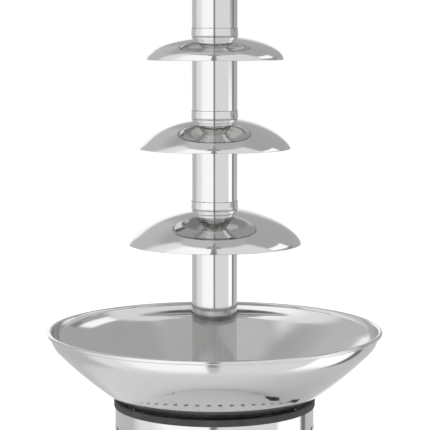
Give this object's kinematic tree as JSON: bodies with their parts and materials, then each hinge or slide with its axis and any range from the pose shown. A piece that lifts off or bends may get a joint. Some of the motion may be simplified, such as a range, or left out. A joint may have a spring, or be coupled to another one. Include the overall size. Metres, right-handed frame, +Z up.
{
  "type": "chocolate fountain",
  "caption": "Tiered stainless steel chocolate fountain with a heated bowl, stacked domes on a central tube, a motor-driven screw and a round base.",
  "frame": {"origin": "centre of the base on the surface that the feet stand on", "axes": "+Z up along the tower, -Y to the front, +X to the right seen from the front, where the controls are"},
  "size_m": [0.4, 0.4, 0.7415],
  "materials": {
    "polished_steel": "mirror-polished stainless steel",
    "plain_steel": "plain mill steel",
    "black_rubber": "matte moulded rubber",
    "black_plastic": "fine moulded grain",
    "white_plastic": "moulded acetal",
    "bronze": "sintered bronze",
    "pin_brass": "bright brass",
    "cast_aluminium": "as cast",
    "motor_black": "black enamel",
    "lamp_amber": "clear tinted lens"
  },
  "bodies": {
    "base": {"base_shell": "polished_steel", "base_plate": "plain_steel", "base_screws": "plain_steel", "rubber_feet": "black_rubber", "foot_screws": "plain_steel", "bowl_seal": "black_rubber", "bowl": "polished_steel", "bowl_hub": "plain_steel", "hub_nut": "plain_steel", "shaft_seal": "black_rubber", "shaft_bush": "bronze", "tower_pins": "polished_steel", "heater_ring": "cast_aluminium", "heater_studs": "plain_steel", "thermal_cutout": "black_plastic", "bracket_pillars": "plain_steel", "motor_bracket": "plain_steel", "bracket_screws": "plain_steel", "gear_case": "cast_aluminium", "gear_lid": "cast_aluminium", "gear_screws": "plain_steel", "shaft_bearings": "bronze", "idler_pin": "plain_steel", "motor_can": "motor_black", "thermostat_body": "black_plastic", "switch_frames": "black_plastic", "pilot_lamp": "lamp_amber", "inlet_body": "black_plastic", "inlet_pins": "pin_brass", "terminal_block": "white_plastic"},
    "drive": {"drive_shaft": "plain_steel", "drive_pin": "plain_steel", "output_gear": "white_plastic"},
    "idler": {"idler_wheel": "white_plastic", "idler_pinion": "plain_steel"},
    "rotor": {"motor_shaft": "plain_steel", "motor_pinion": "plain_steel", "cooling_fan": "black_plastic"},
    "auger": {"auger_core": "polished_steel", "auger_flight": "polished_steel", "auger_cap": "polished_steel"},
    "inner_tube": {"auger_tube": "polished_steel", "tower_foot": "polished_steel"},
    "tier_1": {"tube_1": "polished_steel", "dome_1": "polished_steel"},
    "tier_2": {"collar_2": "polished_steel", "tube_2": "polished_steel", "dome_2": "polished_steel"},
    "tier_3": {"collar_3": "polished_steel", "tube_3": "polished_steel", "dome_3": "polished_steel"},
    "tier_4": {"collar_4": "polished_steel", "tube_4": "polished_steel", "dome_4": "polished_steel"},
    "top": {"collar_5": "polished_steel", "crown": "polished_steel"},
    "heat_knob": {"thermostat_knob": "black_plastic", "thermostat_shaft": "plain_steel"},
    "power_switch": {"power_rocker": "black_plastic"},
    "motor_switch": {"motor_rocker": "black_plastic"}
  },
  "joints": [
    {"name": "drive_spin", "type": "hinge", "parent": "base", "child": "drive", "pos_m": [0, 0, 0.13], "axis": [0, 0, 1], "continuous": true},
    {"name": "idler_spin", "type": "hinge", "parent": "base", "child": "idler", "pos_m": [0.032, 0, 0.1], "axis": [0, 0, 1], "continuous": true},
    {"name": "rotor_spin", "type": "hinge", "parent": "base", "child": "rotor", "pos_m": [0.02174, 0.02819, 0.06], "axis": [0, 0, 1], "continuous": true},
    {"name": "auger_lift", "type": "slide", "parent": "drive", "child": "auger", "axis": [0, 0, 1], "range_m": [0, 0.55]},
    {"name": "inner_tube_lift", "type": "slide", "parent": "base", "child": "inner_tube", "axis": [0, 0, 1], "range_m": [0, 0.57]},
    {"name": "tier_1_lift", "type": "slide", "parent": "inner_tube", "child": "tier_1", "axis": [0, 0, 1], "range_m": [0, 0.55]},
    {"name": "tier_2_lift", "type": "slide", "parent": "tier_1", "child": "tier_2", "axis": [0, 0, 1], "range_m": [0, 0.33]},
    {"name": "tier_3_lift", "type": "slide", "parent": "tier_2", "child": "tier_3", "axis": [0, 0, 1], "range_m": [0, 0.225]},
    {"name": "tier_4_lift", "type": "slide", "parent": "tier_3", "child": "tier_4", "axis": [0, 0, 1], "range_m": [0, 0.13]},
    {"name": "crown_lift", "type": "slide", "parent": "tier_4", "child": "top", "axis": [0, 0, 1], "range_m": [0, 0.045]},
    {"name": "heat_knob_turn", "type": "hinge", "parent": "base", "child": "heat_knob", "pos_m": [0.11954, 0.01046, 0.07], "axis": [-0.9962, -0.0872, 0], "range_deg": [0, 270]},
    {"name": "power_switch_tilt", "type": "hinge", "parent": "base", "child": "power_switch", "pos_m": [0.09997, -0.06492, 0.07], "axis": [-0.5446, -0.8387, 0], "range_deg": [0, 16]},
    {"name": "motor_switch_tilt", "type": "hinge", "parent": "base", "child": "motor_switch", "pos_m": [0.08718, 0.08129, 0.07], "axis": [0.682, -0.7314, 0], "range_deg": [0, 16]}
  ],
  "couplings": [
    {"joint": "idler_spin", "follows": "drive_spin", "ratio": -4.3333},
    {"joint": "rotor_spin", "follows": "drive_spin", "ratio": 17.333}
  ]
}
